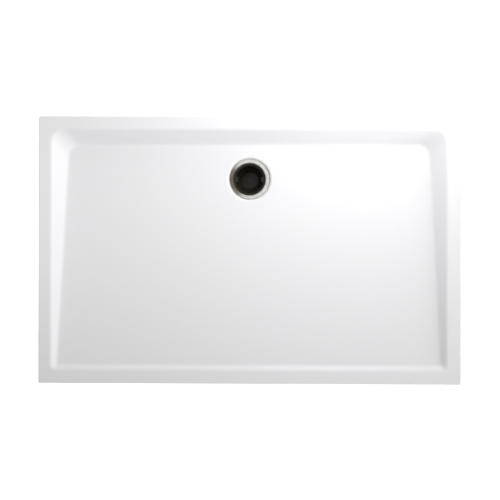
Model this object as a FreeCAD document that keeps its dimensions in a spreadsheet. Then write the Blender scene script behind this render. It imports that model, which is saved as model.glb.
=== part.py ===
"""Shower tray on six adjustable legs; its floor falls to a waste beside one long side.

Millimetres, +Z up, +X along the long side, +Y towards the waste (the back).  The origin lies on
the floor that the feet stand on, under the middle of the tray.
"""
import FreeCAD, Part
import math
import os

import Sketcher

doc = FreeCAD.newDocument("ShowerTray")

# ---------------------------------------------------------------------------------------------
# Driving sizes
# ---------------------------------------------------------------------------------------------

SIZES = [
    # tray
    ("tray_length", 1200, "outside length, along X"),
    ("tray_width", 760, "outside width, along Y"),
    ("tray_height", 50, "underside to rim"),
    ("outer_corner_radius", 4, "upright corners of the outside"),
    ("top_edge_radius", 3, "edge between the rim and the outside"),
    ("back_rim_width", 38, "flat rim along the back"),
    ("front_rim_width", 40.5, "flat rim along the front"),
    ("left_rim_width", 36, "flat rim at the left"),
    ("right_rim_width", 41, "flat rim at the right, a little wider"),
    ("skin_thickness", 3, "acrylic cap over the cast core"),
    # basin
    ("basin_depth", 30, "rim to the floor at the back foot line"),
    ("floor_slope", 0.0325, "rise of the floor towards the front, per millimetre"),
    ("side_wall_run", 46, "level width of a side wall where the basin is full depth"),
    ("back_wall_run", 41, "level width of the wall beside the waste"),
    ("front_wall_run", 34, "level width that the front wall would have at full depth"),
    ("floor_margin", 10, "walls drawn this far below the deepest floor before it is cut"),
    ("back_corner_radius", 68, "basin corners beside the waste, across the lean of the walls"),
    ("front_corner_radius", 18, "basin corners at the shallow side, across the lean"),
    ("foot_radius", 16, "blend between the walls and the floor"),
    ("rim_edge_radius", 18, "blend between the rim and the walls"),
    # waste recess
    ("waste_from_back", 177, "waste centre to the outside of the back"),
    ("waste_hole_radius", 49.5, "hole through skin and core"),
    ("recess_radius", 57.5, "level seat of the waste flange"),
    ("recess_depth", 5.5, "seat below the floor at the waste centre"),
    ("recess_wall_run", 4.5, "level width of the recess wall"),
    ("recess_wall_rise", 8, "height over which the recess wall opens out"),
    ("recess_edge_radius", 6, "blend between the recess and the floor"),
    # core underside
    ("pocket_margin", 34, "outside of the tray to the outermost pockets"),
    ("pocket_rib", 12, "rib between pockets at the underside"),
    ("pocket_columns", 8, "pockets along X"),
    ("pocket_rows", 5, "pockets along Y"),
    ("pocket_roof", 9, "core left between a pocket and the skin"),
    ("pocket_corner_radius", 12, "upright corners of a pocket"),
    ("waste_boss_radius", 84, "solid core round the waste"),
    ("leg_boss_radius", 54, "solid core over each leg"),
    # legs
    ("leg_height", 95, "floor to the underside of the tray, at rest"),
    ("leg_inset", 60, "leg centre to the outside of the tray"),
    ("leg_plate_radius", 46, "flange screwed to the core"),
    ("leg_plate_thickness", 5, "that flange's thickness"),
    ("leg_tube_radius", 20, "outside of the guide tube"),
    ("leg_tube_length", 45, "underside of the tray to the end of the guide tube"),
    ("leg_rib_reach", 38, "outer end of a gusset, from the leg axis"),
    ("leg_rib_drop", 34, "lower end of a gusset, below the tray"),
    ("leg_rib_thickness", 3, "gusset thickness"),
    ("leg_rib_count", 4, "gussets round a guide tube"),
    ("spindle_radius", 15, "threaded spindle of the foot"),
    ("spindle_bore", 9, "hollow inside the spindle"),
    ("spindle_length", 79, "floor to the top of the spindle, at rest"),
    ("spindle_chamfer", 1.5, "lead at the top of the spindle"),
    ("running_clearance", 0.08, "radial play of the spindle in tube and nut"),
    ("seat_gap", 0.3, "play between pieces that turn or lift apart"),
    ("nut_height", 12, "adjusting nut"),
    ("nut_radius", 24, "round body of the adjusting nut"),
    ("nut_lobe_radius", 5, "finger lobes of the adjusting nut"),
    ("nut_lobe_count", 6, "finger lobes round the nut"),
    ("foot_disc_radius", 35, "foot disc"),
    ("foot_disc_height", 5, "edge of the foot disc"),
    ("foot_hub_radius", 19, "top of the cone that joins disc and spindle"),
    ("foot_hub_height", 9, "height of that cone"),
    ("foot_pad_radius", 33, "rubber pad under the foot"),
    ("foot_pad_height", 3, "rubber pad thickness"),
    # leg screws
    ("screw_circle_radius", 36, "screws round the leg axis"),
    ("screw_radius", 2.25, "screw shank"),
    ("screw_play", 0.3, "screw shank in the leg plate"),
    ("screw_length", 18, "shank below the head"),
    ("screw_tip_length", 3, "pointed end of the shank"),
    ("screw_head_radius", 4.5, "pan head"),
    ("screw_head_height", 3, "pan head"),
    ("screws_per_leg", 4, "screws in each leg plate"),
    ("leg_edge", 1.5, "chamfer of leg plates and foot discs"),
    # waste fitting
    ("flange_radius", 56, "outside of the waste flange"),
    ("cover_seat_radius", 46.8, "mouth of the waste, where a cover's skirt goes"),
    ("cover_seat_depth", 17, "mouth below the dish, down to the throat"),
    ("throat_radius", 46, "inside of the neck round the cup"),
    ("neck_wall", 2, "wall of the flange's threaded neck"),
    ("neck_grip", 12, "length of neck inside the trap collar"),
    ("flange_lip", 2, "edge of the flange"),
    ("flange_crown", 0.8, "rise of the flange's crown above its edge"),
    ("flange_crown_inset", 3, "crown from the outside of the flange"),
    ("flange_dish", 1.6, "fall from the crown to the mouth"),
    ("flange_shoulder", 3.5, "level width of the cone under the dish"),
    ("flange_shoulder_drop", 2.5, "fall of that cone"),
    ("flange_crown_radius", 3, "rounding of the crown"),
    ("mouth_edge_radius", 3, "rounding from the dish into the mouth"),
    ("ledge_width", 3, "inward ledge that the cup rests on"),
    ("ledge_height", 2, "thickness of that ledge"),
    ("flange_gasket_height", 1.5, "seal between flange and tray"),
    ("collar_gasket_height", 3, "seal between tray and trap"),
    ("gasket_inset", 1.5, "seals stand back from the edges they sit under"),
    ("collar_radius", 66, "outside of the trap collar"),
    ("collar_height", 8, "trap collar"),
    ("bowl_radius", 56.5, "outside of the trap bowl"),
    ("bowl_wall", 2.5, "wall of the trap"),
    ("bowl_draft", 2, "bowl narrower at the bottom than at the top"),
    ("bowl_depth", 77, "underside of the tray to the bottom of the trap"),
    ("bowl_edge_radius", 12, "bottom edge of the trap"),
    ("bowl_shoulder", 4, "height over which the bowl opens out below the collar"),
    ("cup_rim_height", 10, "thick rim of the lift-out cup"),
    ("cup_opening", 40, "radius of the cup's opening"),
    ("cup_play", 0.6, "cup in the neck"),
    ("cup_wall", 2, "wall of the cup"),
    ("cup_funnel_height", 18, "funnel between rim and dip tube"),
    ("cup_lug_reach", 7, "finger lugs, inwards from the opening"),
    ("cup_lug_width", 14, "width of a finger lug"),
    ("cup_lug_height", 3, "thickness of a finger lug"),
    ("cup_lug_count", 2, "finger lugs in the cup"),
    ("dip_tube_radius", 27, "outside of the dip tube"),
    ("dip_tube_end", 70, "underside of the tray to the end of the dip tube"),
    ("ring_section", 3, "thickness of the cup's sealing ring"),
    ("ring_groove_play", 0.2, "height of the groove beyond the ring"),
    ("ring_play", 0.05, "sealing ring in the neck"),
    # trap outlet
    ("outlet_drop", 33, "underside of the tray to the outlet axis"),
    ("outlet_radius", 23, "threaded outside of the outlet"),
    ("outlet_length", 90, "trap axis to the end of the outlet"),
    ("outlet_bore", 18, "waterway"),
    ("pipe_bore", 20.2, "socket for a 40 mm pipe"),
    ("pipe_depth", 22, "socket behind the end of the outlet"),
    ("outlet_nut_radius", 26.5, "round body of the union nut"),
    ("outlet_nut_grip", 18, "union nut over the outlet's thread"),
    ("outlet_nut_end", 3.5, "end wall of the union nut"),
    ("outlet_nut_rib_radius", 1.5, "grip ribs of the union nut"),
    ("outlet_nut_rib_count", 12, "grip ribs round the union nut"),
    ("outlet_seal_length", 5, "rubber pipe seal"),
    ("outlet_washer_length", 1.5, "slip washer between seal and nut"),
]

sheet = doc.addObject("Spreadsheet::Sheet", "Sizes")
for row, (alias, value, meaning) in enumerate(SIZES, start=1):
    sheet.set(f"A{row}", alias)
    sheet.set(f"B{row}", str(value))
    sheet.setAlias(f"B{row}", alias)
    sheet.set(f"C{row}", meaning)
doc.recompute()


def size(alias):
    """The number in a named cell of the sheet."""
    return float(getattr(sheet, alias))


# Places that several pieces share, as expressions on the sheet.
RIM_TOP = "(Sizes.leg_height + Sizes.tray_height)"
BACK_FOOT = "(Sizes.tray_width / 2 - Sizes.back_rim_width - Sizes.back_wall_run)"
WASTE_Y = "(Sizes.tray_width / 2 - Sizes.waste_from_back)"
RECESS_FLOOR = (f"({RIM_TOP} - Sizes.basin_depth + ({BACK_FOOT} - {WASTE_Y}) * Sizes.floor_slope"
                " - Sizes.recess_depth)")
NECK_RADIUS = "(Sizes.throat_radius + Sizes.neck_wall)"
NECK_END = "(Sizes.collar_gasket_height + Sizes.neck_grip)"

# ---------------------------------------------------------------------------------------------
# Ways of making a solid
# ---------------------------------------------------------------------------------------------

NEAR = 0.01  # millimetres within which two places count as one


def origin_plane(body, role):
    """One of the body's own three planes."""
    return next(item for item in body.Origin.OriginFeatures if item.Role == role)


def new_body(label):
    """A body whose label is the name of the piece."""
    body = doc.addObject("PartDesign::Body", label)
    body.Label = label
    body.AllowCompound = True
    return body


def new_sketch(body, name, role, level="0"):
    """An empty sketch on a plane of the body, moved along the plane's normal by level."""
    sketch = body.newObject("Sketcher::SketchObject", name)
    sketch.AttachmentSupport = [(origin_plane(body, role), "")]
    sketch.MapMode = "FlatFace"
    sketch.setExpression(".AttachmentOffset.Base.z", level)
    return sketch


def pin_point(sketch, geometry, corner, across, up, name):
    """Hold one point of the sketch at two expressions, measured from the sketch's origin."""
    for kind, axis, place in (("DistanceX", "x", across), ("DistanceY", "y", up)):
        index = sketch.addConstraint(Sketcher.Constraint(kind, -1, 1, geometry, corner, 1.0))
        sketch.renameConstraint(index, f"{name}_{axis}")
        sketch.setExpression(f"Constraints.{name}_{axis}", place)


def polygon(body, name, role, points, level="0"):
    """A closed outline of straight lines through points given as pairs of expressions."""
    sketch = new_sketch(body, name, role, level)
    count = len(points)
    turn = 2 * math.pi / count
    ring = [FreeCAD.Vector(math.cos(turn * i), math.sin(turn * i), 0) for i in range(count)]
    for i in range(count):
        sketch.addGeometry(Part.LineSegment(ring[i], ring[(i + 1) % count]))
    for i in range(count):
        sketch.addConstraint(Sketcher.Constraint("Coincident", i, 2, (i + 1) % count, 1))
    for i, (across, up) in enumerate(points):
        pin_point(sketch, i, 1, across, up, f"corner{i + 1}")
    return sketch


def circle(body, name, role, radius, across="0", up="0", level="0"):
    """A circle whose radius and centre are expressions."""
    sketch = new_sketch(body, name, role, level)
    sketch.addGeometry(Part.Circle(FreeCAD.Vector(0, 0, 0), FreeCAD.Vector(0, 0, 1), 1.0))
    index = sketch.addConstraint(Sketcher.Constraint("Radius", 0, 1.0))
    sketch.renameConstraint(index, "radius")
    sketch.setExpression("Constraints.radius", radius)
    pin_point(sketch, 0, 3, across, up, "centre")
    return sketch


def pad(body, name, sketch, length, midplane=False, back=False, taper="0"):
    """Material from a sketch."""
    feature = body.newObject("PartDesign::Pad", name)
    feature.Profile = sketch
    feature.Midplane = midplane
    feature.Reversed = back
    feature.setExpression("Length", length)
    feature.setExpression("TaperAngle", taper)
    doc.recompute()
    return feature


def pocket(body, name, sketch, length, midplane=False, back=False):
    """A cut from a sketch; it has to take something away."""
    before = body.Shape.Volume
    feature = body.newObject("PartDesign::Pocket", name)
    feature.Profile = sketch
    feature.Midplane = midplane
    feature.Reversed = back
    feature.setExpression("Length", length)
    doc.recompute()
    if not feature.Shape.Volume < before:
        raise RuntimeError(f"{body.Label}: {name} cuts nothing")
    return feature


def turned(body, name, points):
    """A solid of revolution about the body's Z axis; points are pairs of radius and height."""
    sketch = polygon(body, name + "_outline", "XZ_Plane", points)
    feature = body.newObject("PartDesign::Revolution", name)
    feature.Profile = sketch
    feature.ReferenceAxis = (sketch, ["V_Axis"])
    feature.Angle = 360
    doc.recompute()
    return feature


def turned_cut(body, name, points):
    """The same as turned, taken away from the body."""
    before = body.Shape.Volume
    sketch = polygon(body, name + "_outline", "XZ_Plane", points)
    feature = body.newObject("PartDesign::Groove", name)
    feature.Profile = sketch
    feature.ReferenceAxis = (sketch, ["V_Axis"])
    feature.Angle = 360
    doc.recompute()
    if not feature.Shape.Volume < before:
        raise RuntimeError(f"{body.Label}: {name} cuts nothing")
    return feature


def repeated(body, name, feature, axis_sketch, axis, count):
    """Copies of a feature round an axis of a sketch, evenly spaced over a full turn."""
    pattern = body.newObject("PartDesign::PolarPattern", name)
    pattern.Originals = [feature]
    pattern.Axis = (axis_sketch, [axis])
    pattern.Angle = 360
    pattern.setExpression("Occurrences", count)
    body.Tip = pattern
    doc.recompute()
    return pattern


def edges_of(shape, test):
    """Names of the edges that pass a test."""
    return [f"Edge{i}" for i, edge in enumerate(shape.Edges, start=1) if test(edge)]


def points_of(edge):
    """The ends and the middle of an edge."""
    return [vertex.Point for vertex in edge.Vertexes] + [edge.CenterOfMass]


def upright_edges(shape, length):
    """Edges of a prism that run up it, longer than a given length."""
    return edges_of(shape, lambda edge: edge.BoundBox.ZLength > length)


def rounded(body, name, base, edges, radius):
    """A rounding on named edges of the body's last feature."""
    if not edges:
        raise RuntimeError(f"{body.Label}: {name} has no edges")
    feature = body.newObject("PartDesign::Fillet", name)
    feature.Base = (base, edges)
    feature.setExpression("Radius", radius)
    body.Tip = feature
    doc.recompute()
    return feature


def ring_edges(shape, radius, height):
    """Circular edges of a turned solid with a given radius and height."""
    def matches(edge):
        curve = edge.Curve
        return (isinstance(curve, Part.Circle) and abs(curve.Radius - radius) < NEAR
                and abs(curve.Center.z - height) < NEAR)
    return edges_of(shape, matches)


def placed(item, across="0", along="0", up="0"):
    """Put a piece at three expressions."""
    for axis, place in (("x", across), ("y", along), ("z", up)):
        item.setExpression(f".Placement.Base.{axis}", place)
    return item


def cut(label, base, tool):
    """One solid less another."""
    item = doc.addObject("Part::Cut", label)
    item.Label = label
    item.Base = base
    item.Tool = tool
    doc.recompute()
    return item


# ---------------------------------------------------------------------------------------------
# Tray: an acrylic skin over a cast core
# ---------------------------------------------------------------------------------------------


def block(label, inset):
    """The outside of the tray, drawn in by an inset on its top and four sides."""
    body = new_body(label)
    half_length = f"(Sizes.tray_length / 2 - {inset})"
    half_width = f"(Sizes.tray_width / 2 - {inset})"
    outline = polygon(body, label + "_outline", "XY_Plane", [
        (f"-{half_length}", f"-{half_width}"),
        (half_length, f"-{half_width}"),
        (half_length, half_width),
        (f"-{half_length}", half_width),
    ], level="Sizes.leg_height")
    slab = pad(body, label + "_slab", outline, f"Sizes.tray_height - {inset}")
    top = slab.Shape.BoundBox.ZMax
    upright = upright_edges(slab.Shape, size("tray_height") / 2)
    corners = rounded(body, label + "_corners", slab, upright, "Sizes.outer_corner_radius")
    upper = edges_of(corners.Shape, lambda edge: edge.BoundBox.ZMin > top - NEAR)
    rounded(body, label + "_edge", corners, upper, "Sizes.top_edge_radius")
    return body


def basin_walls(body, name):
    """The basin's four leaning walls, carried down past the floor."""
    walls = body.newObject("PartDesign::AdditiveWedge", name)
    walls.AttachmentSupport = [(origin_plane(body, "XZ_Plane"), "")]
    walls.MapMode = "FlatFace"
    share = "((Sizes.basin_depth + Sizes.floor_margin) / Sizes.basin_depth)"
    left = "(Sizes.left_rim_width - Sizes.tray_length / 2)"
    right = "(Sizes.tray_length / 2 - Sizes.right_rim_width)"
    back = "(Sizes.back_rim_width - Sizes.tray_width / 2)"
    front = "(Sizes.tray_width / 2 - Sizes.front_rim_width)"
    walls.setExpression("Ymin", f"{RIM_TOP} - Sizes.basin_depth - Sizes.floor_margin")
    walls.setExpression("Ymax", RIM_TOP)
    walls.setExpression("X2min", left)
    walls.setExpression("X2max", right)
    walls.setExpression("Z2min", back)
    walls.setExpression("Z2max", front)
    walls.setExpression("Xmin", f"{left} + Sizes.side_wall_run * {share}")
    walls.setExpression("Xmax", f"{right} - Sizes.side_wall_run * {share}")
    walls.setExpression("Zmin", f"{back} + Sizes.back_wall_run * {share}")
    walls.setExpression("Zmax", f"{front} - Sizes.front_wall_run * {share}")
    doc.recompute()
    return walls


def wall_corners(shape, back):
    """Edges where two of the basin's walls meet, at the back or at the front."""
    def matches(edge):
        ends = [vertex.Point for vertex in edge.Vertexes]
        steep = len(ends) == 2 and abs(ends[0].z - ends[1].z) > size("basin_depth") / 2
        outer = abs(edge.CenterOfMass.x) > size("tray_length") / 4
        return steep and outer and (edge.CenterOfMass.y > 0) == back
    return edges_of(shape, matches)


def on_floor(edge):
    """Whether an edge lies in the plane of the basin's floor."""
    level = size("leg_height") + size("tray_height") - size("basin_depth")
    foot = size("tray_width") / 2 - size("back_rim_width") - size("back_wall_run")
    return all(abs(p.z - level - (foot - p.y) * size("floor_slope")) < NEAR
               for p in points_of(edge))


def basin(label, drop):
    """The hollow of the basin and its waste recess as a solid, lowered by drop."""
    body = new_body(label)
    walls = basin_walls(body, label + "_walls")
    back = rounded(body, label + "_back", walls, wall_corners(walls.Shape, True),
                   "Sizes.back_corner_radius")
    rounded(body, label + "_front", back, wall_corners(back.Shape, False),
            "Sizes.front_corner_radius")

    # The floor is one plane that falls towards the back; everything under it goes.
    half = "Sizes.tray_width / 2"
    deepest = f"{RIM_TOP} - Sizes.basin_depth"
    below = f"{deepest} - 2 * Sizes.floor_margin"
    under = polygon(body, label + "_under", "YZ_Plane", [
        (f"-{half}", below),
        (half, below),
        (half, f"{deepest} - ({half} - {BACK_FOOT}) * Sizes.floor_slope"),
        (f"-{half}", f"{deepest} + ({half} + {BACK_FOOT}) * Sizes.floor_slope"),
    ])
    floor = pocket(body, label + "_floor", under, "Sizes.tray_length", midplane=True)
    rounded(body, label + "_foot", floor, edges_of(floor.Shape, on_floor), "Sizes.foot_radius")

    # The level seat for the waste flange opens out towards the floor.
    recess = body.newObject("PartDesign::AdditiveCone", label + "_recess")
    recess.setExpression("Radius1", "Sizes.recess_radius")
    recess.setExpression("Radius2", "Sizes.recess_radius + Sizes.recess_wall_run")
    recess.setExpression("Height", "Sizes.recess_wall_rise")
    recess.AttachmentSupport = [(origin_plane(body, "XY_Plane"), "")]
    recess.MapMode = "FlatFace"
    recess.setExpression(".AttachmentOffset.Base.y", WASTE_Y)
    recess.setExpression(".AttachmentOffset.Base.z", RECESS_FLOOR)
    doc.recompute()
    narrow = 2 * size("recess_radius")
    wide = narrow + 2 * size("recess_wall_run")
    mouth = edges_of(recess.Shape, lambda edge: (
        on_floor(edge) and narrow < edge.BoundBox.XLength < wide))
    rounded(body, label + "_mouth", recess, mouth, "Sizes.recess_edge_radius")
    placed(body, up=f"-({drop})")
    doc.recompute()
    return body


def rim_rounding(label, base):
    """The soft edge between the rim and the basin's walls."""
    item = doc.addObject("Part::Fillet", label)
    item.Base = base
    top = size("leg_height") + size("tray_height")
    reach = size("tray_length") / 2 - size("left_rim_width") / 2
    radius = size("rim_edge_radius")

    def inner_rim(edge):
        return all(abs(p.z - top) < NEAR and abs(p.x) < reach for p in points_of(edge))
    item.Edges = [(i, radius, radius) for i, edge in enumerate(base.Shape.Edges, start=1)
                  if inner_rim(edge)]
    doc.recompute()
    return item


def waste_hole():
    """The bore through skin and core, as a tool."""
    tool = doc.addObject("Part::Cylinder", "waste_hole")
    tool.setExpression("Radius", "Sizes.waste_hole_radius")
    tool.setExpression("Height", "Sizes.tray_height")
    placed(tool, along=WASTE_Y, up="Sizes.leg_height")
    return tool


hole_tool = waste_hole()
basin_hollow = basin("basin_hollow", "0")
core_hollow = basin("core_hollow", "Sizes.skin_thickness")
core_blank = cut("core_blank", block("core_block", "Sizes.skin_thickness"), core_hollow)
skin_outside = cut("skin_outside", block("skin_block", "0"), basin_hollow)
skin_soft = rim_rounding("skin_soft", skin_outside)
tray_skin = cut("tray_skin", cut("skin_shell", skin_soft, core_blank), hole_tool)

# Legs stand in two rows of three; each place gives the leg's centre as expressions.
LEG_X = "(Sizes.tray_length / 2 - Sizes.leg_inset)"
LEG_Y = "(Sizes.tray_width / 2 - Sizes.leg_inset)"
LEGS = {
    "back_left": (f"-{LEG_X}", LEG_Y),
    "back_middle": ("0", LEG_Y),
    "back_right": (LEG_X, LEG_Y),
    "front_left": (f"-{LEG_X}", f"-{LEG_Y}"),
    "front_middle": ("0", f"-{LEG_Y}"),
    "front_right": (LEG_X, f"-{LEG_Y}"),
}


def leg_screw_places():
    """Centres of all leg screws, midway between the gussets, as pairs of expressions."""
    places = []
    count = int(size("screws_per_leg"))
    for across, along in LEGS.values():
        for i in range(count):
            turn = f"(360 deg * {i + 0.5} / Sizes.screws_per_leg)"
            places.append((f"{across} + Sizes.screw_circle_radius * cos({turn})",
                           f"{along} + Sizes.screw_circle_radius * sin({turn})"))
    return places


def post(label, radius, height, across, along, up):
    """A round tool that stands at three expressions."""
    tool = doc.addObject("Part::Cylinder", label)
    tool.setExpression("Radius", radius)
    tool.setExpression("Height", height)
    return placed(tool, across, along, up)


def compound(label, items):
    """Several tools as one."""
    tool = doc.addObject("Part::Compound", label)
    tool.Links = items
    doc.recompute()
    return tool


def ribs(body, name, axis, count, corners, pitch):
    """Evenly spaced ribs taken out of the pockets; corners outline the first one."""
    outline = polygon(body, name + "_outline", "XY_Plane", corners, level="Sizes.leg_height")
    first = pocket(body, name + "_first", outline, "Sizes.tray_height", back=True)
    pattern = body.newObject("PartDesign::LinearPattern", name)
    pattern.Originals = [first]
    pattern.Direction = (outline, [axis])
    pattern.setExpression("Length", f"{pitch} * ({count} - 2)")
    pattern.setExpression("Occurrences", f"{count} - 1")
    body.Tip = pattern
    doc.recompute()
    return pattern


def underside_pockets():
    """The moulded pockets between the core's ribs; their roofs run parallel to the floor."""
    body = new_body("underside_pockets")
    left = "(Sizes.pocket_margin - Sizes.tray_length / 2)"
    front = "(Sizes.pocket_margin - Sizes.tray_width / 2)"
    wide = f"((Sizes.pocket_rib - 2 * {left}) / Sizes.pocket_columns)"
    deep = f"((Sizes.pocket_rib - 2 * {front}) / Sizes.pocket_rows)"
    whole = polygon(body, "pocket_outline", "XY_Plane", [
        (left, front),
        (f"-{left}", front),
        (f"-{left}", f"-{front}"),
        (left, f"-{front}"),
    ], level="Sizes.leg_height")
    pad(body, "pocket_whole", whole, "Sizes.tray_height")
    ribs(body, "cross_ribs", "H_Axis", "Sizes.pocket_columns", [
        (f"{left} + {wide} - Sizes.pocket_rib", front),
        (f"{left} + {wide}", front),
        (f"{left} + {wide}", f"-{front}"),
        (f"{left} + {wide} - Sizes.pocket_rib", f"-{front}"),
    ], wide)
    grid = ribs(body, "long_ribs", "V_Axis", "Sizes.pocket_rows", [
        (left, f"{front} + {deep} - Sizes.pocket_rib"),
        (f"-{left}", f"{front} + {deep} - Sizes.pocket_rib"),
        (f"-{left}", f"{front} + {deep}"),
        (left, f"{front} + {deep}"),
    ], deep)
    upright = upright_edges(grid.Shape, size("tray_height") / 2)
    rounded(body, "pocket_corners", grid, upright, "Sizes.pocket_corner_radius")
    half = "Sizes.tray_width / 2"
    roof = f"{RIM_TOP} - Sizes.basin_depth - Sizes.skin_thickness - Sizes.pocket_roof"
    above = polygon(body, "pocket_roof_outline", "YZ_Plane", [
        (f"-{half}", f"{roof} + ({half} + {BACK_FOOT}) * Sizes.floor_slope"),
        (half, f"{roof} - ({half} - {BACK_FOOT}) * Sizes.floor_slope"),
        (half, f"{RIM_TOP} + Sizes.tray_height"),
        (f"-{half}", f"{RIM_TOP} + Sizes.tray_height"),
    ])
    pocket(body, "pocket_roofs", above, "Sizes.tray_length", midplane=True)
    return body


def solid_bosses():
    """The places where the core stays solid: round the waste and over each leg."""
    posts = [post("waste_boss", "Sizes.waste_boss_radius", "Sizes.tray_height",
                  "0", WASTE_Y, "Sizes.leg_height")]
    for place, (across, along) in LEGS.items():
        posts.append(post("boss_" + place, "Sizes.leg_boss_radius", "Sizes.tray_height",
                          across, along, "Sizes.leg_height"))
    return compound("solid_bosses", posts)


def pilot_holes():
    """The holes that the leg screws cut into the core."""
    depth = "Sizes.screw_length - Sizes.leg_plate_thickness"
    return compound("pilot_holes", [
        post(f"pilot_{i}", "Sizes.screw_radius", depth, across, along, "Sizes.leg_height")
        for i, (across, along) in enumerate(leg_screw_places(), start=1)])


hollows = cut("hollows", underside_pockets(), solid_bosses())
tray_core = cut("tray_core", core_blank, compound("core_cuts", [
    hollows, hole_tool, pilot_holes()]))

# ---------------------------------------------------------------------------------------------
# Legs: a screwed guide, a finger nut and a foot on a threaded spindle
# ---------------------------------------------------------------------------------------------

SPINDLE_HOLE = "(Sizes.spindle_radius + Sizes.running_clearance)"


def leg_plate(label, across, along):
    """A moulded flange with a guide tube and gussets, open from the tray down."""
    body = new_body(label)
    flange = "Sizes.leg_plate_thickness"
    turned(body, label + "_form", [
        (SPINDLE_HOLE, "0"),
        ("Sizes.leg_plate_radius", "0"),
        ("Sizes.leg_plate_radius", f"Sizes.leg_edge - {flange}"),
        ("Sizes.leg_plate_radius - Sizes.leg_edge", f"-{flange}"),
        ("Sizes.leg_tube_radius", f"-{flange}"),
        ("Sizes.leg_tube_radius", "-Sizes.leg_tube_length"),
        (SPINDLE_HOLE, "-Sizes.leg_tube_length"),
    ])
    middle = "(Sizes.leg_tube_radius + Sizes.spindle_radius) / 2"
    web = polygon(body, label + "_web", "XZ_Plane", [
        (middle, f"-{flange}"),
        (middle, "-Sizes.leg_rib_drop"),
        ("Sizes.leg_tube_radius", "-Sizes.leg_rib_drop"),
        ("Sizes.leg_rib_reach", f"-{flange}"),
    ])
    rib = pad(body, label + "_rib", web, "Sizes.leg_rib_thickness", midplane=True)
    repeated(body, label + "_ribs", rib, web, "V_Axis", "Sizes.leg_rib_count")
    turn = "(180 deg / Sizes.screws_per_leg)"
    spot = circle(body, label + "_spot", "XY_Plane", "Sizes.screw_radius + Sizes.screw_play",
                  f"Sizes.screw_circle_radius * cos({turn})",
                  f"Sizes.screw_circle_radius * sin({turn})")
    hole = pocket(body, label + "_hole", spot, flange)
    repeated(body, label + "_holes", hole, spot, "N_Axis", "Sizes.screws_per_leg")
    return placed(body, across, along, "Sizes.leg_height")


def leg_nut(label, across, along):
    """A finger nut that carries the guide tube; its axis is the spindle's."""
    body = new_body(label)
    disc = circle(body, label + "_disc", "XY_Plane", "Sizes.nut_radius")
    pad(body, label + "_body", disc, "Sizes.nut_height", back=True)
    tip = circle(body, label + "_tip", "XY_Plane", "Sizes.nut_lobe_radius", "Sizes.nut_radius")
    lobe = pad(body, label + "_lobe", tip, "Sizes.nut_height", back=True)
    repeated(body, label + "_lobes", lobe, tip, "N_Axis", "Sizes.nut_lobe_count")
    bore = circle(body, label + "_bore", "XY_Plane", SPINDLE_HOLE)
    pocket(body, label + "_thread", bore, "Sizes.nut_height")
    return placed(body, across, along,
                  "Sizes.leg_height - Sizes.leg_tube_length - Sizes.seat_gap")


def leg_foot(label, across, along):
    """A disc that runs up a cone into a hollow threaded spindle."""
    body = new_body(label)
    sole = "Sizes.foot_pad_height"
    disc = f"({sole} + Sizes.foot_disc_height)"
    hub = f"({disc} + Sizes.foot_hub_height)"
    turned(body, label + "_form", [
        ("0", sole),
        ("Sizes.foot_disc_radius", sole),
        ("Sizes.foot_disc_radius", f"{disc} - Sizes.leg_edge"),
        ("Sizes.foot_disc_radius - Sizes.leg_edge", disc),
        ("Sizes.foot_hub_radius", hub),
        ("Sizes.spindle_radius", hub),
        ("Sizes.spindle_radius", "Sizes.spindle_length - Sizes.spindle_chamfer"),
        ("Sizes.spindle_radius - Sizes.spindle_chamfer", "Sizes.spindle_length"),
        ("Sizes.spindle_bore", "Sizes.spindle_length"),
        ("Sizes.spindle_bore", disc),
        ("0", disc),
    ])
    return placed(body, across, along)


def foot_pad(label, across, along):
    """A rubber disc under the foot."""
    body = new_body(label)
    disc = circle(body, label + "_disc", "XY_Plane", "Sizes.foot_pad_radius")
    pad(body, label + "_body", disc, "Sizes.foot_pad_height")
    return placed(body, across, along)


def leg_screws():
    """All pan-head screws of the legs, as one group of separate solids."""
    body = new_body("leg_screw_form")
    turned(body, "leg_screw", [
        ("0", "-Sizes.screw_head_height"),
        ("Sizes.screw_head_radius", "-Sizes.screw_head_height"),
        ("Sizes.screw_head_radius", "0"),
        ("Sizes.screw_radius", "0"),
        ("Sizes.screw_radius", "Sizes.screw_length - Sizes.screw_tip_length"),
        ("0", "Sizes.screw_length"),
    ])
    level = size("leg_height") - size("leg_plate_thickness")
    screws = []
    for i in range(1, len(leg_screw_places()) + 1):
        pilot = doc.getObject(f"pilot_{i}").Placement.Base
        screws.append(body.Shape.translated(FreeCAD.Vector(pilot.x, pilot.y, level)))
    group = doc.addObject("Part::Feature", "leg_screws")
    group.Label = "leg_screws"
    group.Shape = Part.makeCompound(screws)
    return group


leg_pieces = []
for place, (across, along) in LEGS.items():
    leg_pieces.append(leg_plate("leg_plate_" + place, across, along))
    leg_pieces.append(leg_nut("leg_nut_" + place, across, along))
    leg_pieces.append(leg_foot("leg_foot_" + place, across, along))
    leg_pieces.append(foot_pad("foot_pad_" + place, across, along))
leg_pieces.append(leg_screws())

# ---------------------------------------------------------------------------------------------
# Waste fitting: a dished flange whose neck screws into a trap under the tray
# ---------------------------------------------------------------------------------------------

SEAT = f"({RECESS_FLOOR} - Sizes.leg_height)"
LEDGE_TOP = f"(Sizes.ledge_height - {NECK_END})"


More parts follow.
